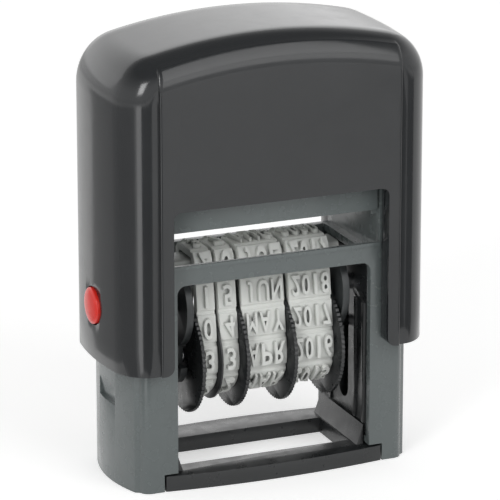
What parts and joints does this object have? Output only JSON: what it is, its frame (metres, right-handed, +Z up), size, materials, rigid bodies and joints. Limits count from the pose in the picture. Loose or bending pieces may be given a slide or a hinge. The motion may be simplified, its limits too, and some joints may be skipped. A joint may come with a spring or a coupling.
{
  "type": "self-inking date stamp",
  "caption": "Self-inking date stamp: a sprung arch cap turns a unit of day, month and year bands from its ink pad down to the paper between the frame's legs, with side lock buttons.",
  "frame": {"origin": "on the ground, in the middle of the foot", "axes": "+Z up, +X to the stamp's right seen from the front, -Y the front with the pad's face"},
  "size_m": [0.0532, 0.0256, 0.0706],
  "materials": {
    "cap_plastic": "gloss dark grey",
    "frame_plastic": "fine satin grey",
    "black_plastic": "semi-gloss black",
    "band_rubber": "matte light grey",
    "bar_plastic": "matte light grey",
    "button_plastic": "gloss red",
    "pad_felt": "felt, not inked",
    "steel": "bright turned"
  },
  "bodies": {
    "base": {"base_frame": "frame_plastic", "foot_frame": "black_plastic", "guide_plate_left": "black_plastic", "guide_plate_right": "black_plastic", "return_spring": "steel"},
    "cap": {"cap_shell": "cap_plastic", "press_yoke": "black_plastic"},
    "print_unit": {"print_bar": "bar_plastic", "wheel_axle": "steel", "carrier_plate_left": "black_plastic", "carrier_plate_right": "black_plastic", "pivot_pin_left": "steel", "pivot_pin_right": "steel", "flip_stud_left": "steel", "flip_stud_right": "steel", "day_tens_band": "band_rubber", "day_units_band": "band_rubber", "month_band": "band_rubber", "year_band": "band_rubber"},
    "pad": {"pad_cassette": "frame_plastic", "pad_felt": "pad_felt"},
    "lock_left": {"lock_button_left": "button_plastic"},
    "lock_right": {"lock_button_right": "button_plastic"},
    "day_tens_dial": {"day_tens_wheel": "black_plastic"},
    "day_units_dial": {"day_units_wheel": "black_plastic"},
    "month_dial": {"month_wheel": "black_plastic"},
    "year_dial": {"year_wheel": "black_plastic"}
  },
  "joints": [
    {"name": "cap_press", "type": "slide", "parent": "base", "child": "cap", "axis": [0, 0, -1], "range_m": [0, 0.0174], "stiffness_N_per_m": 400, "springref_m": -0.01, "deforming": ["return_spring"]},
    {"name": "unit_flip", "type": "hinge", "parent": "cap", "child": "print_unit", "pos_m": [0, 0, 0.02683], "axis": [1, 0, 0], "range_deg": [0, 180]},
    {"name": "pad_slide", "type": "slide", "parent": "base", "child": "pad", "axis": [0, 1, 0], "range_m": [-0.022, 0]},
    {"name": "lock_left_press", "type": "slide", "parent": "cap", "child": "lock_left", "axis": [1, 0, 0], "range_m": [0, 0.0007], "stiffness_N_per_m": 200, "springref_m": -0.002},
    {"name": "lock_right_press", "type": "slide", "parent": "cap", "child": "lock_right", "axis": [-1, 0, 0], "range_m": [0, 0.0007], "stiffness_N_per_m": 200, "springref_m": -0.002},
    {"name": "day_tens_turn", "type": "hinge", "parent": "print_unit", "child": "day_tens_dial", "pos_m": [0, 0, 0.01823], "axis": [1, 0, 0], "continuous": true},
    {"name": "day_units_turn", "type": "hinge", "parent": "print_unit", "child": "day_units_dial", "pos_m": [0, 0, 0.01823], "axis": [1, 0, 0], "continuous": true},
    {"name": "month_turn", "type": "hinge", "parent": "print_unit", "child": "month_dial", "pos_m": [0, 0, 0.01823], "axis": [1, 0, 0], "continuous": true},
    {"name": "year_turn", "type": "hinge", "parent": "print_unit", "child": "year_dial", "pos_m": [0, 0, 0.01823], "axis": [1, 0, 0], "continuous": true}
  ],
  "couplings": [
    {"joint": "unit_flip", "follows": "cap_press", "rad_per_m": 180.55}
  ]
}
